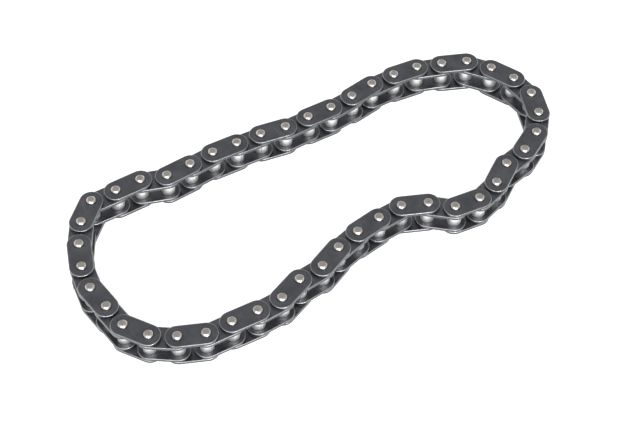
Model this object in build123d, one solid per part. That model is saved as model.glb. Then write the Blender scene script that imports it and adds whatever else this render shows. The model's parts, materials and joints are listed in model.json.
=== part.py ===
from build123d import *
import os
from math import acos, atan2, cos, degrees, hypot, radians, sin

# An endless bush chain, a roller chain without loose rollers, lying on its side as a loop.
# All sizes are in millimetres. +X runs along the loop, and +Z runs along the pins.

# Driving dimensions
PITCH = 9.525                   # 3/8 inch between neighbouring pins
PLATE_HEIGHT = 8.5
PLATE_THICKNESS = 1.25
PLATE_EDGE_RADIUS = 0.2         # tumbled edges
INNER_WIDTH = 5.72              # between the two plates of an inner link
SIDE_PLAY = 0.08                # between an inner plate and the outer plate beside it
BUSH_DIAMETER = 5.0
BUSH_BORE = 3.45
BUSH_SEAM = 0.1                 # the slit left where the rolled strip meets
SEAM_STEP = 137.0               # degrees from one bush's seam to the next one's
PIN_DIAMETER = 3.35
PIN_STAND_OUT = 1.0             # beyond the outer plate
PIN_CHAMFER_HEIGHT = 0.4
PIN_CHAMFER_WIDTH = 0.55

# Worked out from those
INNER_PLATE_Z = INNER_WIDTH / 2
OUTER_PLATE_Z = INNER_PLATE_Z + PLATE_THICKNESS + SIDE_PLAY
BUSH_LENGTH = INNER_WIDTH + 2 * PLATE_THICKNESS
PIN_LENGTH = 2 * (OUTER_PLATE_Z + PLATE_THICKNESS + PIN_STAND_OUT)

# The way every link points as the chain lies, in degrees from +X, clockwise round the loop.
# Outer link 1 is followed by inner link 1, then by outer link 2, and so on.
OUTER_HEADINGS = [-19, -59, -105, -147, -143, 177, 161, -168, -152, -154, -179, 161,
                  129, 102, 74, 47, 4, 7, 1, -6, 2, 12, -3]
INNER_HEADINGS = [-47, -78, -126, -164, -159, 144, -173, -161, -171, -174, -178, 150,
                  103, 86, 64, 3, -15, 8, 0, 4, 9, 3, -16]
# Outer links that swing together. The links of a group, laid end to end, come back to
# their start, so the loop stays closed however far the group swings. The last link of a pair,
# and the last two of a larger group, are aimed to make that exact.
SWING_GROUPS = [(1, 12), (6, 23), (8, 22), (11, 19),
                (2, 4, 7, 18, 15), (3, 16, 17, 13, 5), (10, 20, 21, 14, 9)]
INNER_CLOSING_LINKS = (23, 13)

# Links whose plates, pins and bushes are nodes of their own. In the others they are a group.
OPENED_LINKS = (1, 2)


def closing_headings(headings):
    """The two headings, low and high, that bring a row of links back to its start."""
    gap_x = -sum(cos(radians(h)) for h in headings)
    gap_y = -sum(sin(radians(h)) for h in headings)
    middle = degrees(atan2(gap_y, gap_x))
    spread = degrees(acos(hypot(gap_x, gap_y) / 2))
    return middle - spread, middle + spread


def close_up(headings, numbers):
    """Aim the last links of a set so that the whole set closes: one of a pair, else two."""
    if len(numbers) == 2:
        first, last = numbers
        headings[last - 1] = headings[first - 1] + 180
        return
    *free, low, high = numbers
    headings[low - 1], headings[high - 1] = closing_headings([headings[n - 1] for n in free])


def loop_headings():
    """Headings of all links in order, outer and inner by turns, adding up to a closed loop."""
    outer, inner = list(OUTER_HEADINGS), list(INNER_HEADINGS)
    for group in SWING_GROUPS:
        close_up(outer, group)
    free = [n for n in range(1, len(inner) + 1) if n not in INNER_CLOSING_LINKS]
    close_up(inner, free + list(INNER_CLOSING_LINKS))
    return [heading for pair in zip(outer, inner) for heading in pair]


def pin_places(headings):
    """Pin centres, with the middle of the loop's box at the origin."""
    x, y, places = 0.0, 0.0, []
    for heading in headings:
        places.append((x, y))
        x += PITCH * cos(radians(heading))
        y += PITCH * sin(radians(heading))
    middle_x = (min(p[0] for p in places) + max(p[0] for p in places)) / 2
    middle_y = (min(p[1] for p in places) + max(p[1] for p in places)) / 2
    return [(px - middle_x, py - middle_y) for px, py in places]


def plate(hole_diameter, lower_face):
    """A round-ended plate with two holes, lying along X and centred between its holes."""
    blank = fillet(extrude(SlotCenterToCenter(PITCH, PLATE_HEIGHT), PLATE_THICKNESS).edges()
                   .filter_by(Plane.XY), PLATE_EDGE_RADIUS)
    for side in (-1, 1):
        blank -= Pos(side * PITCH / 2, 0) * extrude(Circle(hole_diameter / 2), PLATE_THICKNESS)
    return Pos(0, 0, lower_face) * blank


def plate_pair(hole_diameter, inner_face):
    """The upper and lower plate of a link, their inner faces at plus and minus inner_face."""
    return [plate(hole_diameter, inner_face), plate(hole_diameter, -inner_face - PLATE_THICKNESS)]


def pin():
    """A plain pin with a wide chamfer at both ends, centred on the origin."""
    radius, end = PIN_DIAMETER / 2, PIN_LENGTH / 2
    flat, shoulder = radius - PIN_CHAMFER_WIDTH, end - PIN_CHAMFER_HEIGHT
    outline = Polyline((0, 0, -end), (flat, 0, -end), (radius, 0, -shoulder),
                       (radius, 0, shoulder), (flat, 0, end), (0, 0, end), close=True)
    return revolve(make_face(outline), Axis.Z)


def bush(seam_angle):
    """A bush rolled from strip, centred on the origin, with its seam at an angle to X."""
    tube = Cylinder(BUSH_DIAMETER / 2, BUSH_LENGTH) - Cylinder(BUSH_BORE / 2, BUSH_LENGTH)
    seam = Rot(0, 0, seam_angle) * Pos(BUSH_DIAMETER / 2, 0) * Box(BUSH_DIAMETER, BUSH_SEAM, BUSH_LENGTH)
    return tube - seam


def outer_link():
    """Pieces of an outer link: two plates pressed onto two pins."""
    top, bottom = plate_pair(PIN_DIAMETER, OUTER_PLATE_Z)
    pins = [Pos(side * PITCH / 2, 0) * pin() for side in (-1, 1)]
    return {"outer_plate_top": top, "outer_plate_bottom": bottom,
            "pin_a": pins[0], "pin_b": pins[1]}


def inner_link(number):
    """Pieces of an inner link: two plates pressed onto two bushes."""
    top, bottom = plate_pair(BUSH_DIAMETER, INNER_PLATE_Z)
    bushes = [Pos(side * PITCH / 2, 0) * bush(SEAM_STEP * (2 * number + side)) for side in (-1, 1)]
    return {"inner_plate_top": top, "inner_plate_bottom": bottom,
            "bush_a": bushes[0], "bush_b": bushes[1]}


def save(node, solids):
    """Write one node, a single solid or a group of separate ones."""
    shape = solids[0] if len(solids) == 1 else Compound(children=solids)
    export_step(shape, f"parts/{node}.step")


def save_link(kind, number, pieces, place):
    """Put a link in its place in the loop, and write it as one node or piece by piece."""
    placed = {name: place * piece for name, piece in pieces.items()}
    if number in OPENED_LINKS:
        for name, piece in placed.items():
            save(f"{name}_{number:02d}", [piece.solid()])
    else:
        save(f"{kind}_link_{number:02d}", [piece.solid() for piece in placed.values()])


def main():
    os.makedirs("parts", exist_ok=True)
    headings = loop_headings()
    places = pin_places(headings)
    for index, heading in enumerate(headings):
        (x1, y1), (x2, y2) = places[index], places[(index + 1) % len(places)]
        place = Pos((x1 + x2) / 2, (y1 + y2) / 2, PIN_LENGTH / 2) * Rot(0, 0, heading)
        number = index // 2 + 1
        if index % 2 == 0:
            save_link("outer", number, outer_link(), place)
        else:
            save_link("inner", number, inner_link(number), place)


main()
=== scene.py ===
import json
import math

import bmesh
import bpy
from mathutils import Matrix, Vector

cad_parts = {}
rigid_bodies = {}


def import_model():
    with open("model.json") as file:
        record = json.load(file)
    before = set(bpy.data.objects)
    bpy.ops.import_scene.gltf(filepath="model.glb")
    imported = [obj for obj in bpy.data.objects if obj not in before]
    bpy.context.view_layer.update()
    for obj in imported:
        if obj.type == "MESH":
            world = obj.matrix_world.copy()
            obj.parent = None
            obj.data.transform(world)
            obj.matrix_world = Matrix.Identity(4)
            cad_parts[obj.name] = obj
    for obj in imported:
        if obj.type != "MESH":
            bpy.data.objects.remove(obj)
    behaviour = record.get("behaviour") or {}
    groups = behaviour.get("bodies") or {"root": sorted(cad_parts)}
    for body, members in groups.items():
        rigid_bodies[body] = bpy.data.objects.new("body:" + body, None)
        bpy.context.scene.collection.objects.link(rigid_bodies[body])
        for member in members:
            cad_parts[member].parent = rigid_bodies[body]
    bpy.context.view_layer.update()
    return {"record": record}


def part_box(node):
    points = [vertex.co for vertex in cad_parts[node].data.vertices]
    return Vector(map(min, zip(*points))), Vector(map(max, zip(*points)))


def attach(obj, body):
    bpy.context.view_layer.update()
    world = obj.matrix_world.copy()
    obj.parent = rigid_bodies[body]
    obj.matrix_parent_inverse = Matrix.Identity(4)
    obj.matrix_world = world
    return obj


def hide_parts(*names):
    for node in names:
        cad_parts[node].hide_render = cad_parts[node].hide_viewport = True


bl_info = {
    "name": "Bush Chain Finish",
    "version": (1, 0, 0),
    "blender": (4, 5, 0),
    "location": "View3D > Sidebar > Bush Chain",
    "description": "Builds the finished plates, pins and bushes of a slack bush chain",
    "category": "Object",
}

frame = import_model()
MM = 0.001


# Sizes read from the frame ------------------------------------------------------------------

def measure(node):
    """Size and middle of a CAD node, as two vectors in metres."""
    low, high = (Vector(corner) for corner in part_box(node))
    return high - low, (high + low) / 2


def read_links():
    """Every link's middle, heading in radians and pitch, from its box and one pivot, by body name."""
    pivots = {}
    for joint in frame["record"]["behaviour"]["joints"]:
        for body in (joint["parent"], joint["child"]):
            pivots[body] = Vector(joint["pos_m"])
    links = {}
    for body, nodes in frame["record"]["behaviour"]["bodies"].items():
        corners = [Vector(corner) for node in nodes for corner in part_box(node)]
        middle = Vector([(min(c[axis] for c in corners) + max(c[axis] for c in corners)) / 2
                         for axis in range(3)])
        along = pivots[body] - middle
        links[body] = (middle, math.atan2(along.y, along.x), 2 * along.xy.length)
    return links


LINKS = read_links()
PITCH = next(iter(LINKS.values()))[2]
OUTER_BOX, OUTER_MIDDLE = measure("outer_plate_top_01")
INNER_MIDDLE = measure("inner_plate_top_01")[1]
PIN_BOX, PIN_MIDDLE = measure("pin_a_01")
BUSH_BOX = measure("bush_a_01")[0]
HEIGHT = OUTER_BOX.x - PITCH * abs(math.cos(LINKS["outer_link_01"][1]))


# Settings -----------------------------------------------------------------------------------

def length(name, description, default):
    """A setting that is a length in metres."""
    return bpy.props.FloatProperty(name=name, description=description, default=default, min=0.0,
                                   precision=5, subtype="DISTANCE", unit="LENGTH")


def colour(name, description, default):
    """A setting that is a linear colour."""
    return bpy.props.FloatVectorProperty(name=name, description=description, default=default,
                                         size=3, min=0.0, max=1.0, subtype="COLOR")


def share(name, description, default):
    """A setting from 0 to 1."""
    return bpy.props.FloatProperty(name=name, description=description, default=default,
                                   min=0.0, max=1.0, subtype="FACTOR")


class CHAIN_PG_plates(bpy.types.PropertyGroup):
    """Sizes of the side plates"""
    pitch: length("Pitch", "Distance between the two holes of a plate", PITCH)
    height: length("Height", "Height of a plate, twice the radius of its ends", HEIGHT)
    thickness: length("Thickness", "Thickness of a plate", OUTER_BOX.z)
    edge: length("Edge Radius", "Radius of the tumbled edges", 0.24 * MM)
    countersink: length("Hole Edge", "Width of the broken edge round each hole", 0.1 * MM)
    outer_hole: length("Outer Plate Hole", "Diameter of an outer plate's holes", PIN_BOX.x)
    inner_hole: length("Inner Plate Hole", "Diameter of an inner plate's holes", BUSH_BOX.x)
    outer_z: length("Outer Plate Place", "Outer plate's middle from the chain's mid-plane",
                    OUTER_MIDDLE.z - PIN_MIDDLE.z)
    inner_z: length("Inner Plate Place", "Inner plate's middle from the chain's mid-plane",
                    INNER_MIDDLE.z - PIN_MIDDLE.z)


class CHAIN_PG_pins(bpy.types.PropertyGroup):
    """Sizes of the pins"""
    diameter: length("Diameter", "Diameter of a pin", PIN_BOX.x)
    length: length("Length", "Length of a pin over its riveted ends", PIN_BOX.z)
    chamfer_width: length("Chamfer Width", "Width of the chamfer seen from the end", 0.55 * MM)
    chamfer_height: length("Chamfer Height", "Height of the chamfer along the pin", 0.4 * MM)
    lobes: bpy.props.IntProperty(name="Rivet Blows", default=7, min=3, max=12,
                                 description="Flats that riveting leaves round a pin's end")
    lobe_depth: share("Rivet Depth", "Depth of those flats as a share of the flat's radius", 0.045)


class CHAIN_PG_bushes(bpy.types.PropertyGroup):
    """Sizes of the bushes"""
    diameter: length("Diameter", "Outer diameter of a bush", BUSH_BOX.x)
    bore: length("Bore", "Inner diameter of a bush", PIN_BOX.x + 0.1 * MM)
    length: length("Length", "Length of a bush over the inner plates", BUSH_BOX.z)
    seam_width: length("Seam Width", "Width of the rolled seam", 0.1 * MM)
    seam_depth: length("Seam Depth", "Depth of the seam's groove", 0.25 * MM)


class CHAIN_PG_finish(bpy.types.PropertyGroup):
    """Colours of the metals"""
    blued: colour("Blued Steel", "Face of a blued plate", (0.142, 0.147, 0.160))
    worn: colour("Worn Edge", "Bare steel on tumbled edges", (0.55, 0.55, 0.56))
    pin_face: colour("Pin Face", "Flat end of a pin", (0.50, 0.46, 0.43))
    pin_side: colour("Pin Side", "Chamfer and side of a pin", (0.78, 0.75, 0.71))
    bush: colour("Bush", "Rolled bush", (0.72, 0.715, 0.71))


class CHAIN_PG_stage(bpy.types.PropertyGroup):
    """Camera and light"""
    azimuth: bpy.props.FloatProperty(name="Azimuth", description="Camera's direction round the chain",
                                     default=math.radians(-27.0), subtype="ANGLE", unit="ROTATION")
    elevation: bpy.props.FloatProperty(name="Elevation", description="Camera's height above the horizon",
                                       default=math.radians(52.66), subtype="ANGLE", unit="ROTATION")
    roll: bpy.props.FloatProperty(name="Roll", description="Camera's turn about its own axis",
                                  default=math.radians(0.43), subtype="ANGLE", unit="ROTATION")
    distance: length("Distance", "Camera's distance from the point it looks at", 58.12 * PITCH)
    lens: bpy.props.FloatProperty(name="Lens", default=89.67, min=10.0,
                                  description="Focal length in millimetres on a 36 mm sensor")
    aim: bpy.props.FloatVectorProperty(name="Aim", description="The point that the camera looks at",
                                       default=(-0.00588, -0.00923, 0.01248), size=3,
                                       precision=5, subtype="TRANSLATION", unit="LENGTH")
    floor: colour("Floor", "Floor and backdrop", (0.92, 0.92, 0.92))
    floor_glow: bpy.props.FloatProperty(name="Floor Glow", default=0.66, min=0.0,
                                        description="How far the floor is lit from below")
    sky: bpy.props.FloatProperty(name="Sky", description="Strength of the even light from all round",
                                 default=0.55, min=0.0)


# Mesh making --------------------------------------------------------------------------------

ARC_STEPS = 20              # segments round a plate's end
RUN_STEPS = 5               # points on half a plate's straight side
WAIST_STEPS = 6             # segments across a plate's waist
EDGE_STEPS = 3              # segments in a tumbled edge
ROUND_STEPS = 32            # segments round a pin or a bush
PIN_SOFTENING = 0.06 * MM   # rounding of the corners of a pin's chamfer
PIN_INNER_RING = 0.55       # a ring on a pin's flat end, as a share of the flat's radius
BUSH_ROUNDING = 0.12 * MM   # rounding of a bush's rims
SPOT = "spot"               # a vertex's place on its own piece, which the materials read


def half_outline(pitch, radius):
    """Right half of a plate's outline, anticlockwise from the waist's foot round to its top."""
    run = [(pitch / 2 * step / RUN_STEPS, -radius) for step in range(RUN_STEPS)]
    arc = []
    for step in range(ARC_STEPS + 1):
        angle = math.pi * (step / ARC_STEPS - 0.5)
        arc.append((pitch / 2 + radius * math.cos(angle), radius * math.sin(angle)))
    back = [(x, -y) for x, y in reversed(run)]
    return run + arc + back


def whole_outline(pitch, radius):
    """A plate's whole outline, anticlockwise from the waist's foot."""
    right = half_outline(pitch, radius)
    left = [(-x, -y) for x, y in right]
    return right[:-1] + left[:-1]


def ring_of(mesh, outline, z):
    """Vertices of an outline at one height."""
    return [mesh.verts.new((x, y, z)) for x, y in outline]


def bridge(mesh, lower, upper, smooth=True):
    """Quads between two rings of the same count. Seen from outside, the upper ring is above."""
    count = len(lower)
    for i in range(count):
        j = (i + 1) % count
        face = mesh.faces.new((lower[i], lower[j], upper[j], upper[i]))
        face.smooth = smooth


def finish_mesh(mesh, name):
    """Turn a bmesh into a mesh that remembers where each vertex sat on its own piece."""
    bmesh.ops.remove_doubles(mesh, verts=mesh.verts, dist=1e-7)
    bmesh.ops.recalc_face_normals(mesh, faces=mesh.faces)
    data = bpy.data.meshes.new(name)
    mesh.to_mesh(data)
    mesh.free()
    spot = data.attributes.new(SPOT, "FLOAT_VECTOR", "POINT")
    for vertex in data.vertices:
        spot.data[vertex.index].vector = vertex.co
    return data


def plate_mesh(name, sizes, hole):
    """A round-ended plate with tumbled edges and two holes, centred on the origin."""
    radius, half, edge, lip = sizes.height / 2, sizes.thickness / 2, sizes.edge, sizes.countersink
    mesh = bmesh.new()
    profile = [(edge * (1 - math.cos(a)), half - edge * (1 - math.sin(a)))
               for a in (math.pi / 2 * step / EDGE_STEPS for step in range(EDGE_STEPS + 1))]
    wall = [(inset, -z) for inset, z in reversed(profile)] + profile
    rings = [ring_of(mesh, whole_outline(sizes.pitch, radius - inset), z) for inset, z in wall]
    for lower, upper in zip(rings, rings[1:]):
        bridge(mesh, lower, upper)
    for side in (1, -1):
        outline = half_outline(sizes.pitch, radius - edge)
        top_y = radius - edge
        waist = [(0.0, top_y - 2 * top_y * step / WAIST_STEPS) for step in range(1, WAIST_STEPS)]
        outline = [(side * x, side * y) for x, y in outline + waist]
        centre = side * sizes.pitch / 2
        spokes = [Vector((x - centre, y)).normalized() for x, y in outline]
        throats = []
        for z in (half, -half):
            mouth, throat = (
                ring_of(mesh, [(centre + s.x * reach, s.y * reach) for s in spokes], level)
                for reach, level in ((hole / 2 + lip, z), (hole / 2, math.copysign(half - lip, z))))
            bridge(mesh, mouth, ring_of(mesh, outline, z), smooth=False)
            bridge(mesh, mouth, throat)
            throats.append(throat)
        bridge(mesh, throats[1], throats[0])
    return finish_mesh(mesh, name)


def lobed_circle(radius, lobes, depth):
    """Points round a circle with a number of flats in it."""
    points = []
    for step in range(ROUND_STEPS):
        angle = 2 * math.pi * step / ROUND_STEPS
        reach = radius * (1 - depth * abs(math.sin(lobes * angle / 2)))
        points.append((reach * math.cos(angle), reach * math.sin(angle)))
    return points


def pin_mesh(name, sizes):
    """A pin with chamfered, riveted ends."""
    radius, end = sizes.diameter / 2, sizes.length / 2
    flat, shoulder = radius - sizes.chamfer_width, end - sizes.chamfer_height
    mesh = bmesh.new()
    soft = PIN_SOFTENING
    # Each ring is its radius, its height and how much of the rivet's flats it shows.
    profile = [(flat * PIN_INNER_RING, end, 1.0), (flat, end, 1.0), (flat + soft, end - soft * 0.5, 0.8),
               (radius - soft, shoulder + soft, 0.3), (radius, shoulder - soft, 0.0)]
    rings = []
    for reach, z, lobed in profile + [(reach, -z, lobed) for reach, z, lobed in reversed(profile)]:
        rings.append(ring_of(mesh, lobed_circle(reach, sizes.lobes, sizes.lobe_depth * lobed), z))
    for index, (upper, lower) in enumerate(zip(rings, rings[1:])):
        bridge(mesh, lower, upper, smooth=index not in (0, len(rings) - 2))
    for ring in (rings[0], rings[-1]):
        mesh.faces.new(ring)
    return finish_mesh(mesh, name)


def bush_mesh(name, sizes):
    """A bush rolled from strip, with the groove of its seam along one side."""
    outer, inner, half = sizes.diameter / 2, sizes.bore / 2, sizes.length / 2
    mesh = bmesh.new()
    opening = math.asin(sizes.seam_width / sizes.diameter)
    step_angle = (2 * math.pi - 2 * opening) / ROUND_STEPS
    spread = [opening + step_angle * step for step in range(ROUND_STEPS + 1)]
    body = [(outer * math.cos(a), outer * math.sin(a)) for a in spread]
    floor = outer - sizes.seam_depth
    groove = [(floor * math.cos(opening), side * floor * math.sin(opening)) for side in (-1, 1)]
    outline = body + groove
    bore = []
    for x, y in outline:
        reach = math.hypot(x, y)
        bore.append((x / reach * inner, y / reach * inner))
    bore_top, bore_foot = ring_of(mesh, bore, half), ring_of(mesh, bore, -half)
    shrink = 1 - BUSH_ROUNDING / outer
    cap = [(x * shrink, y * shrink) for x, y in outline]
    rings = [bore_foot, ring_of(mesh, cap, -half), ring_of(mesh, outline, BUSH_ROUNDING - half),
             ring_of(mesh, outline, half - BUSH_ROUNDING), ring_of(mesh, cap, half), bore_top]
    for index, (lower, upper) in enumerate(zip(rings, rings[1:])):
        bridge(mesh, lower, upper, smooth=index in (1, 2, 3))
    bridge(mesh, bore_top, bore_foot)
    return finish_mesh(mesh, name)


# Repeating a piece along a link ---------------------------------------------------------------

def socket(tree, name, kind, direction="INPUT"):
    """Add a named socket to a node tree's interface."""
    return tree.interface.new_socket(name, in_out=direction, socket_type=kind)


def pair_tree():
    """Geometry Nodes tree that sets two copies of a piece into a link, at plus and minus an offset."""
    tree = bpy.data.node_groups.get("Pair In A Link")
    if tree:
        return tree
    tree = bpy.data.node_groups.new("Pair In A Link", "GeometryNodeTree")
    socket(tree, "Geometry", "NodeSocketGeometry")
    for name, kind in (("Offset", "NodeSocketVector"), ("Turn Over", "NodeSocketFloat"),
                       ("Random Turn", "NodeSocketFloat"), ("Seed", "NodeSocketInt"),
                       ("Heading", "NodeSocketFloat"), ("Place", "NodeSocketVector"),
                       ("Material", "NodeSocketMaterial")):
        socket(tree, name, kind)
    socket(tree, "Geometry", "NodeSocketGeometry", "OUTPUT")
    nodes, link = tree.nodes, tree.links.new
    given, result = nodes.new("NodeGroupInput"), nodes.new("NodeGroupOutput")
    step = nodes.new("ShaderNodeVectorMath")
    step.operation = "SCALE"
    step.inputs["Scale"].default_value = -2.0
    line = nodes.new("GeometryNodeMeshLine")
    line.inputs["Count"].default_value = 2
    index = nodes.new("GeometryNodeInputIndex")
    over = nodes.new("ShaderNodeMath")
    over.operation = "MULTIPLY"
    chance = nodes.new("FunctionNodeRandomValue")
    chance.data_type = "FLOAT"
    turn = nodes.new("ShaderNodeCombineXYZ")
    copies = nodes.new("GeometryNodeInstanceOnPoints")
    heading = nodes.new("ShaderNodeCombineXYZ")
    move = nodes.new("GeometryNodeTransform")
    real = nodes.new("GeometryNodeRealizeInstances")
    paint = nodes.new("GeometryNodeSetMaterial")
    link(given.outputs["Offset"], step.inputs[0])
    link(given.outputs["Offset"], line.inputs["Start Location"])
    link(step.outputs["Vector"], line.inputs["Offset"])
    link(index.outputs["Index"], over.inputs[0])
    link(given.outputs["Turn Over"], over.inputs[1])
    link(given.outputs["Random Turn"], chance.inputs[3])
    link(given.outputs["Seed"], chance.inputs["Seed"])
    link(over.outputs["Value"], turn.inputs["X"])
    link(chance.outputs[1], turn.inputs["Z"])
    link(line.outputs["Mesh"], copies.inputs["Points"])
    link(given.outputs["Geometry"], copies.inputs["Instance"])
    link(turn.outputs["Vector"], copies.inputs["Rotation"])
    link(given.outputs["Heading"], heading.inputs["Z"])
    link(copies.outputs["Instances"], move.inputs["Geometry"])
    link(given.outputs["Place"], move.inputs["Translation"])
    link(heading.outputs["Vector"], move.inputs["Rotation"])
    link(move.outputs["Geometry"], real.inputs["Geometry"])
    link(real.outputs["Geometry"], paint.inputs["Geometry"])
    link(given.outputs["Material"], paint.inputs["Material"])
    link(paint.outputs["Geometry"], result.inputs["Geometry"])
    return tree


def link_piece(name, prototype, **values):
    """Run the tree on a prototype mesh and return the result as a plain mesh object."""
    tree = pair_tree()
    holder = bpy.data.objects.new(name + "_source", prototype)
    bpy.context.scene.collection.objects.link(holder)
    modifier = holder.modifiers.new("Pair", "NODES")
    modifier.node_group = tree
    for item in tree.interface.items_tree:
        if item.in_out == "INPUT" and item.name in values:
            modifier[item.identifier] = values[item.name]
    data = bpy.data.meshes.new_from_object(holder.evaluated_get(bpy.context.evaluated_depsgraph_get()))
    bpy.data.objects.remove(holder)
    data.name = name
    piece = bpy.data.objects.new(name, data)
    bpy.context.scene.collection.objects.link(piece)
    return piece


def fill_links(kind, what, prototype, slot, material, nodes_of, **values):
    """Put a pair of pieces in every link of one kind, riding on that link's body."""
    for number, (body, (middle, heading, _)) in enumerate(sorted(LINKS.items())):
        if not body.startswith(kind):
            continue
        piece = link_piece(f"{body}_{what}", prototype, Heading=heading, Place=middle,
                           Seed=number, Material=material, **values)
        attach(piece, body)
        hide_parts(*nodes_of(body))
    bpy.data.meshes.remove(prototype)


def nodes_named(*words):
    """Which CAD nodes a piece stands for: a body's nodes with one of the words, or its only node."""
    def pick(body):
        nodes = frame["record"]["behaviour"]["bodies"][body]
        return [n for n in nodes if len(nodes) == 1 or any(w in n for w in words)]
    return pick


# Materials ------------------------------------------------------------------------------------

class Shader:
    """A small helper that adds nodes to a tree and joins them."""

    def __init__(self, tree):
        self.tree = tree

    def node(self, kind, **settings):
        node = self.tree.nodes.new(kind)
        for name, value in settings.items():
            setattr(node, name, value)
        return node

    def join(self, value, target):
        if hasattr(value, "is_output"):
            self.tree.links.new(value, target)
        else:
            target.default_value = value

    def math(self, operation, *values):
        node = self.node("ShaderNodeMath", operation=operation)
        for value, target in zip(values, node.inputs):
            self.join(value, target)
        return node.outputs["Value"]

    def ramp(self, value, low, high, start=0.0, end=1.0):
        """Smooth step from start at low to end at high."""
        node = self.node("ShaderNodeMapRange", interpolation_type="SMOOTHSTEP")
        for name, item in (("Value", value), ("From Min", low), ("From Max", high),
                           ("To Min", start), ("To Max", end)):
            self.join(item, node.inputs[name])
        return node.outputs["Result"]

    def mix(self, amount, first, second):
        """Mix two colours."""
        node = self.node("ShaderNodeMix", data_type="RGBA")
        self.join(amount, node.inputs[0])
        self.join(first, node.inputs[6])
        self.join(second, node.inputs[7])
        return node.outputs[2]

    def noise(self, vector, scale, detail=2.0, roughness=0.5):
        node = self.node("ShaderNodeTexNoise")
        self.join(vector, node.inputs["Vector"])
        for name, value in (("Scale", scale), ("Detail", detail), ("Roughness", roughness)):
            self.join(value, node.inputs[name])
        return node.outputs["Fac"]

    def spot(self):
        """The place on the piece itself, as x, y and z."""
        place = self.node("ShaderNodeAttribute", attribute_name=SPOT).outputs["Vector"]
        split = self.node("ShaderNodeSeparateXYZ")
        self.join(place, split.inputs[0])
        return split.outputs

    def reach(self, x, y):
        """Length of the flat vector x, y."""
        squares = self.math("ADD", self.math("POWER", x, 2.0), self.math("POWER", y, 2.0))
        return self.math("SQRT", squares)

    def total(self, first, *terms):
        """A value plus every (value, factor) of the terms."""
        for value, factor in terms:
            first = self.math("MULTIPLY_ADD", value, factor, first)
        return first

    def scaled(self, value, colour_value):
        """A colour times a value that changes over the surface."""
        node = self.node("ShaderNodeVectorMath", operation="SCALE")
        self.join(colour_value, node.inputs[0])
        self.join(value, node.inputs["Scale"])
        return node.outputs["Vector"]

    def bump(self, height, strength, depth, bsdf):
        node = self.node("ShaderNodeBump")
        for name, item in (("Strength", strength), ("Distance", depth), ("Height", height)):
            self.join(item, node.inputs[name])
        self.join(node.outputs["Normal"], bsdf.inputs["Normal"])

    def group(self, tree, **values):
        node = self.node("ShaderNodeGroup", node_tree=tree)
        for name, value in values.items():
            self.join(value, node.inputs[name.replace("_", " ")])
        return node.outputs


def effect(name, inputs, outputs):
    """A new shader node group of floats, as its tree, helper, given sockets and result sockets."""
    tree = bpy.data.node_groups.new(name, "ShaderNodeTree")
    for item, default in inputs.items():
        socket(tree, item, "NodeSocketFloat").default_value = default
    for item in outputs:
        socket(tree, item, "NodeSocketFloat", "OUTPUT")
    helper = Shader(tree)
    return tree, helper, helper.node("NodeGroupInput").outputs, helper.node("NodeGroupOutput").inputs


# Scratches: each set's turn in radians and its stretch, then where the noise becomes a scratch
SCRATCH_SETS = ((0.6, 0.12), (-0.9, 0.16), (2.1, 0.1))
SCRATCH_FADE = (0.64, 0.72)
PATCH_FADE = (0.45, 0.7)        # scratches lie in patches, which fade in over this much noise
PATCH_SCALE = 0.16              # the patches' noise beside the scratches'


def scuffs():
    """Shared effect: short scratches and nicks of a tumbled part, as a mask and a height."""
    tree = bpy.data.node_groups.get("Scuffs")
    if tree:
        return tree
    tree, s, given, result = effect("Scuffs", {"Scale": 900.0, "Amount": 0.5}, ("Mask", "Height"))
    place = s.node("ShaderNodeTexCoord").outputs["Object"]
    masks = []
    for turn, stretch in SCRATCH_SETS:
        mapping = s.node("ShaderNodeMapping")
        s.join(place, mapping.inputs["Vector"])
        mapping.inputs["Rotation"].default_value = (0.3, 0.2, turn)
        mapping.inputs["Scale"].default_value = (1.0, stretch, 1.0)
        streaks = s.noise(mapping.outputs["Vector"], given["Scale"], 3.0, 0.6)
        masks.append(s.ramp(streaks, *SCRATCH_FADE))
    scratch = s.math("MAXIMUM", s.math("MAXIMUM", masks[0], masks[1]), masks[2])
    patches = s.noise(place, s.math("MULTIPLY", given["Scale"], PATCH_SCALE), 1.0)
    patchy = s.math("MULTIPLY", scratch, s.ramp(patches, *PATCH_FADE))
    mask = s.math("MULTIPLY", patchy, given["Amount"])
    s.join(mask, result["Mask"])
    s.join(s.math("MULTIPLY", mask, -1.0), result["Height"])
    return tree


def mottle():
    """Shared effect: soft uneven colour and fine grain, as two values round 0."""
    tree = bpy.data.node_groups.get("Mottle")
    if tree:
        return tree
    tree, s, given, result = effect("Mottle", {"Broad Scale": 160.0, "Fine Scale": 3500.0},
                                    ("Broad", "Fine"))
    place = s.node("ShaderNodeTexCoord").outputs["Object"]
    for name, detail, roughness in (("Broad", 4.0, 0.6), ("Fine", 3.0, 0.7)):
        grain = s.noise(place, given[f"{name} Scale"], detail, roughness)
        s.join(s.math("SUBTRACT", grain, 0.5), result[name])
    return tree


def new_material(name):
    """An empty node material, its helper and its Principled BSDF, set to metal."""
    material = bpy.data.materials.new(name)
    material.use_nodes = True
    bsdf = material.node_tree.nodes["Principled BSDF"]
    bsdf.inputs["Metallic"].default_value = 1.0
    return material, Shader(material.node_tree), bsdf


def rgba(values):
    return (*values, 1.0)


# Where a plate is worn and marked, and where painted shade darkens its side walls and the rings round
# its holes
WEAR_START = 0.04 * MM      # bare metal from an edge up to here
WEAR_ON_FACE = 0.42 * MM    # wear has faded out this far in from the rim
WEAR_ON_WALL = 0.26 * MM    # and this far down the side wall
WALL_SHADE_BAND = 0.12 * MM       # the side wall's painted shade fades out over this
WALL_SHADE_TONE = 0.42            # the side wall's painted shade, as its colour beside the face's
WALL_SHADE_SHARE = 0.55           # how much of that painted shade the side wall takes
SEAT_SHADE_BAND = 0.42 * MM       # painted shade: a dark ring round a hole, where the pin or bush meets the plate
SEAT_SHADE_TONE = 0.45
RING_OUT = 0.12 * MM        # the rub ring lies this far outside the next plate's end
RING_BAND = 0.22 * MM
RUB = 0.12                  # how far an inner plate is rubbed


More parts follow.
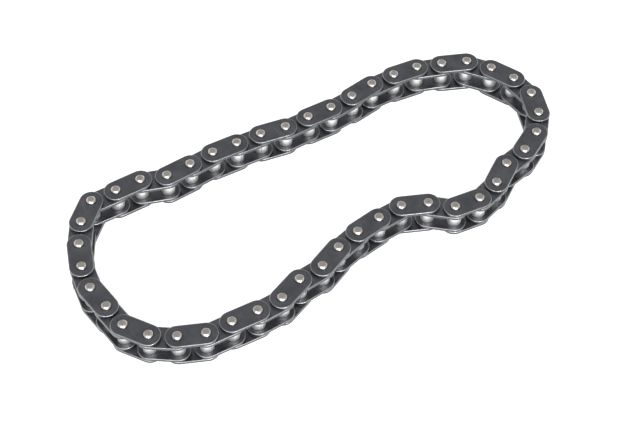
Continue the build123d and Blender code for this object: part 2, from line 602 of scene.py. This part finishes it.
def blued_steel(name, plates, finish, hole, rub):
    """Blued plate: dark faces, painted shade on the side walls and round each hole, edges worn bright,
    and a faint rub ring.
    """
    material, s, bsdf = new_material(name)
    x, y, z = s.spot()
    aside = s.math("SUBTRACT", s.math("ABSOLUTE", x), plates.pitch / 2)
    from_hole = s.reach(aside, y)
    from_spine = s.reach(s.math("MAXIMUM", aside, 0.0), y)
    inside = s.math("SUBTRACT", plates.height / 2, from_spine)
    level = s.math("SUBTRACT", plates.thickness / 2, s.math("ABSOLUTE", z))
    broad, fine = (s.group(mottle())[k] for k in ("Broad", "Fine"))
    marks = s.group(scuffs(), Scale=700.0, Amount=0.55)
    ragged = s.math("MULTIPLY_ADD", fine, 0.25 * MM, s.math("MULTIPLY", broad, 0.35 * MM))
    near_rim = s.ramp(s.math("ADD", inside, ragged), WEAR_START, WEAR_ON_FACE, 1.0, 0.0)
    near_face = s.ramp(s.math("ADD", level, ragged), WEAR_START, WEAR_ON_WALL, 1.0, 0.0)
    corner = s.math("MULTIPLY", near_rim, near_face)
    # painted shade: the side wall and the rim of the face are darkened
    wall = s.ramp(inside, 0.0, WALL_SHADE_BAND, 1.0, 0.0)
    ring = s.math("ABSOLUTE", s.math("SUBTRACT", from_hole, plates.height / 2 + RING_OUT))
    rubbed = s.math("MULTIPLY", s.ramp(ring, 0.0, RING_BAND, rub, 0.0), s.ramp(broad, -0.2, 0.15))
    # painted shade in a ring round each hole, where the pin or bush enters the plate
    seat_shade = s.ramp(from_hole, hole / 2, hole / 2 + SEAT_SHADE_BAND, SEAT_SHADE_TONE, 1.0)
    face = s.scaled(s.math("MULTIPLY", s.total(1.0, (fine, 0.6), (broad, 1.0)), seat_shade), finish.blued[:])
    # colour of the side wall's painted shade
    wall_shade_colour = rgba([c * WALL_SHADE_TONE for c in finish.blued])
    side = s.mix(s.math("MULTIPLY", wall, WALL_SHADE_SHARE), face, wall_shade_colour)
    bare = s.math("MULTIPLY", corner, s.ramp(broad, -0.25, 0.1, 0.35, 1.0))
    worn = s.math("MAXIMUM", s.math("MAXIMUM", bare, rubbed), s.math("MULTIPLY", marks["Mask"], 0.35))
    s.join(s.mix(worn, side, rgba(finish.worn)), bsdf.inputs["Base Color"])
    s.join(s.total(0.40, (broad, 0.18), (fine, 0.22), (worn, -0.10)), bsdf.inputs["Roughness"])
    s.bump(s.total(marks["Height"], (fine, 0.8)), 0.35, 0.02 * MM, bsdf)
    return material


# Where a pin's end changes its finish, and where painted shade darkens its side
FLAT_DROP = (0.01 * MM, 0.05 * MM)      # the flat fades out between these depths
FLAT_RIM = (-0.05 * MM, 0.03 * MM)      # and between these places round its rim
GROOVE_PITCH = 0.16 * MM                # between the turning marks
PAINTED_SHADE_DROP = (0.35 * MM, 0.62 * MM)     # painted shade below the chamfer, where the pin meets its plate
PAINTED_SHADE_TONE = 0.35


def pin_steel(pins, finish):
    """Pin: a matt warm-grey end face inside a bright chamfer, with painted shade where it enters its
    plate.
    """
    material, s, bsdf = new_material("pin_steel")
    x, y, z = s.spot()
    reach = s.reach(x, y)
    drop = s.math("SUBTRACT", pins.length / 2, s.math("ABSOLUTE", z))
    broad, fine = (s.group(mottle(), Broad_Scale=900.0)[k] for k in ("Broad", "Fine"))
    marks = s.group(scuffs(), Scale=1500.0, Amount=0.5)
    rim = pins.diameter / 2 - pins.chamfer_width
    on_top = s.ramp(drop, *FLAT_DROP, 1.0, 0.0)
    flat = s.math("MULTIPLY", on_top, s.ramp(reach, rim + FLAT_RIM[0], rim + FLAT_RIM[1], 1.0, 0.0))
    ground = s.math("SINE", s.math("MULTIPLY", reach, 2 * math.pi / GROOVE_PITCH))
    tone = s.total(1.0, (ground, 0.03), (broad, 0.5))
    metal = s.mix(flat, rgba(finish.pin_side), rgba(finish.pin_face))
    painted_shade_start, painted_shade_end = (pins.chamfer_height + drop_by for drop_by in PAINTED_SHADE_DROP)
    # painted shade on the pin's side where it enters its plate
    painted_shade = s.ramp(drop, painted_shade_start, painted_shade_end, 1.0, PAINTED_SHADE_TONE)
    s.join(s.scaled(s.math("MULTIPLY", tone, painted_shade), metal), bsdf.inputs["Base Color"])
    s.join(s.total(0.30, (fine, 0.2), (flat, 0.16), (marks["Mask"], 0.1)), bsdf.inputs["Roughness"])
    s.bump(s.total(s.math("ADD", fine, marks["Height"]), (ground, 0.25)), 0.3, 0.015 * MM, bsdf)
    return material


BUSH_SHADE_SPAN = (0.2, 0.36)     # painted shade: a bush darkens towards the plates between these shares of its length from its middle
BUSH_END_SHADE_TONE = 0.85
BUSH_LINES = 0.06           # how far the lines of the strip are drawn out along a bush
BUSH_METAL = 0.75


def bush_steel(bushes, finish):
    """Bush: satin rolled strip with faint lines along it, with painted shade towards the plates."""
    material, s, bsdf = new_material("bush_steel")
    drawn = s.node("ShaderNodeMapping")
    s.join(s.node("ShaderNodeAttribute", attribute_name=SPOT).outputs["Vector"], drawn.inputs["Vector"])
    drawn.inputs["Scale"].default_value = (1.0, 1.0, BUSH_LINES)
    lines = s.math("SUBTRACT", s.noise(drawn.outputs["Vector"], 2600.0, 3.0, 0.6), 0.5)
    broad, fine = (s.group(mottle(), Broad_Scale=420.0)[k] for k in ("Broad", "Fine"))
    marks = s.group(scuffs(), Scale=1100.0, Amount=0.6)
    start, end = (bushes.length * share_of for share_of in BUSH_SHADE_SPAN)
    # painted shade where the bush runs in between the plates
    ends = s.ramp(s.math("ABSOLUTE", s.spot()[2]), start, end, 1.0, BUSH_END_SHADE_TONE)
    tone = s.math("MULTIPLY", s.total(1.0, (broad, 0.45), (lines, 0.35)), ends)
    s.join(s.scaled(s.total(tone, (marks["Mask"], -0.25)), finish.bush[:]), bsdf.inputs["Base Color"])
    bsdf.inputs["Metallic"].default_value = BUSH_METAL
    s.join(s.total(0.42, (broad, 0.15), (lines, 0.2)), bsdf.inputs["Roughness"])
    s.bump(s.total(s.math("ADD", fine, marks["Height"]), (lines, 1.2)), 0.3, 0.02 * MM, bsdf)
    return material


# Operators ------------------------------------------------------------------------------------

class CHAIN_OT_outer_plates(bpy.types.Operator):
    """Make the two blued plates of every outer link"""
    bl_idname = "chain.outer_plates"
    bl_label = "Outer Plates"

    def execute(self, context):
        plates, finish = context.scene.chain_plates, context.scene.chain_finish
        hole = plates.outer_hole
        fill_links("outer", "plates", plate_mesh("outer_plate", plates, hole), "blued_plate",
                   blued_steel("outer_plate_blued", plates, finish, hole, 0.0),
                   nodes_named("plate"), Offset=(0.0, 0.0, plates.outer_z), **{"Turn Over": math.pi})
        return {"FINISHED"}


class CHAIN_OT_inner_plates(bpy.types.Operator):
    """Make the two blued plates of every inner link"""
    bl_idname = "chain.inner_plates"
    bl_label = "Inner Plates"

    def execute(self, context):
        plates, finish = context.scene.chain_plates, context.scene.chain_finish
        hole = plates.inner_hole
        fill_links("inner", "plates", plate_mesh("inner_plate", plates, hole), "blued_plate",
                   blued_steel("inner_plate_blued", plates, finish, hole, RUB),
                   nodes_named("plate"), Offset=(0.0, 0.0, plates.inner_z), **{"Turn Over": math.pi})
        return {"FINISHED"}


class CHAIN_OT_pins(bpy.types.Operator):
    """Make the two pins of every outer link"""
    bl_idname = "chain.pins"
    bl_label = "Pins"

    def execute(self, context):
        pins, plates = context.scene.chain_pins, context.scene.chain_plates
        fill_links("outer", "pins", pin_mesh("pin", pins), "pin_steel",
                   pin_steel(pins, context.scene.chain_finish), nodes_named("pin"),
                   Offset=(plates.pitch / 2, 0.0, 0.0), **{"Random Turn": 2 * math.pi})
        return {"FINISHED"}


class CHAIN_OT_bushes(bpy.types.Operator):
    """Make the two rolled bushes of every inner link"""
    bl_idname = "chain.bushes"
    bl_label = "Bushes"

    def execute(self, context):
        bushes, plates = context.scene.chain_bushes, context.scene.chain_plates
        fill_links("inner", "bushes", bush_mesh("bush", bushes), "bush_steel",
                   bush_steel(bushes, context.scene.chain_finish), nodes_named("bush"),
                   Offset=(plates.pitch / 2, 0.0, 0.0), **{"Random Turn": 2 * math.pi})
        return {"FINISHED"}


FLOOR_REACH = 3.0       # from the middle of the floor to its sides, in metres
# Softboxes: name, place from the point looked at, width in metres, power in watts
SOFTBOXES = (("low softbox", (-0.1, -1.05, 0.55), 0.6, 11.0),
             ("high softbox", (-0.75, -0.6, 0.9), 0.5, 5.0))


def area_light(name, place, target, size, power):
    """A square softbox that looks at a point."""
    data = bpy.data.lights.new(name, "AREA")
    data.shape, data.size, data.energy = "SQUARE", size, power
    light = bpy.data.objects.new(name, data)
    bpy.context.scene.collection.objects.link(light)
    turn = (place - target).to_track_quat("Z", "Y").to_matrix().to_4x4()
    light.matrix_world = Matrix.Translation(place) @ turn


class CHAIN_OT_stage(bpy.types.Operator):
    """Make the floor, the light and the camera"""
    bl_idname = "chain.stage"
    bl_label = "Stage"

    def execute(self, context):
        scene, stage = context.scene, context.scene.chain_stage
        scene.view_settings.view_transform = "Standard"
        material, _, bsdf = new_material("floor")
        bsdf.inputs["Metallic"].default_value = 0.0
        bsdf.inputs["Roughness"].default_value = 0.9
        bsdf.inputs["Base Color"].default_value = rgba(stage.floor)
        bsdf.inputs["Emission Color"].default_value = (1.0, 1.0, 1.0, 1.0)
        bsdf.inputs["Emission Strength"].default_value = stage.floor_glow
        floor = bpy.data.meshes.new("floor")
        corners = [(x * FLOOR_REACH, y * FLOOR_REACH, 0)
                   for x, y in ((-1, -1), (1, -1), (1, 1), (-1, 1))]
        floor.from_pydata(corners, [], [(0, 1, 2, 3)])
        floor.materials.append(material)
        ground = bpy.data.objects.new("floor", floor)
        scene.collection.objects.link(ground)
        scene.world = bpy.data.worlds.new("studio")
        scene.world.use_nodes = True
        background = scene.world.node_tree.nodes["Background"]
        background.inputs["Color"].default_value = (1.0, 1.0, 1.0, 1.0)
        sky = Shader(scene.world.node_tree)
        seen = sky.node("ShaderNodeLightPath").outputs["Is Camera Ray"]
        sky.join(sky.ramp(seen, 0.0, 1.0, stage.sky, 1.0), background.inputs["Strength"])
        aim = Vector(stage.aim)
        for name, away, width, power in SOFTBOXES:
            area_light(name, aim + Vector(away), aim, width, power)
        flat = math.cos(stage.elevation)
        back = Vector((math.sin(stage.azimuth) * flat, -math.cos(stage.azimuth) * flat,
                       math.sin(stage.elevation)))
        camera = bpy.data.objects.new("camera", bpy.data.cameras.new("camera"))
        camera.data.lens = stage.lens
        camera.data.clip_start = 0.01
        scene.collection.objects.link(camera)
        look = back.to_track_quat("Z", "Y").to_matrix().to_4x4()
        camera.matrix_world = (Matrix.Translation(aim + back * stage.distance) @ look
                               @ Matrix.Rotation(stage.roll, 4, "Z"))
        scene.camera = camera
        return {"FINISHED"}


class CHAIN_PT_panel(bpy.types.Panel):
    """Buttons for the chain's pieces and its stage"""
    bl_label = "Bush Chain"
    bl_idname = "CHAIN_PT_panel"
    bl_space_type = "VIEW_3D"
    bl_region_type = "UI"
    bl_category = "Bush Chain"

    def draw(self, context):
        for step in STEPS:
            self.layout.operator(step.bl_idname)


SETTINGS = {"chain_plates": CHAIN_PG_plates, "chain_pins": CHAIN_PG_pins,
            "chain_bushes": CHAIN_PG_bushes, "chain_finish": CHAIN_PG_finish,
            "chain_stage": CHAIN_PG_stage}
STEPS = (CHAIN_OT_stage, CHAIN_OT_outer_plates, CHAIN_OT_inner_plates, CHAIN_OT_pins,
         CHAIN_OT_bushes)
CLASSES = (*SETTINGS.values(), *STEPS, CHAIN_PT_panel)


def register():
    for item in CLASSES:
        bpy.utils.register_class(item)
    for name, group in SETTINGS.items():
        setattr(bpy.types.Scene, name, bpy.props.PointerProperty(type=group))


def unregister():
    for name in SETTINGS:
        delattr(bpy.types.Scene, name)
    for item in reversed(CLASSES):
        bpy.utils.unregister_class(item)


def main():
    register()
    for step in STEPS:
        area, action = step.bl_idname.split(".")
        getattr(getattr(bpy.ops, area), action)()


if __name__ == "__main__":
    main()
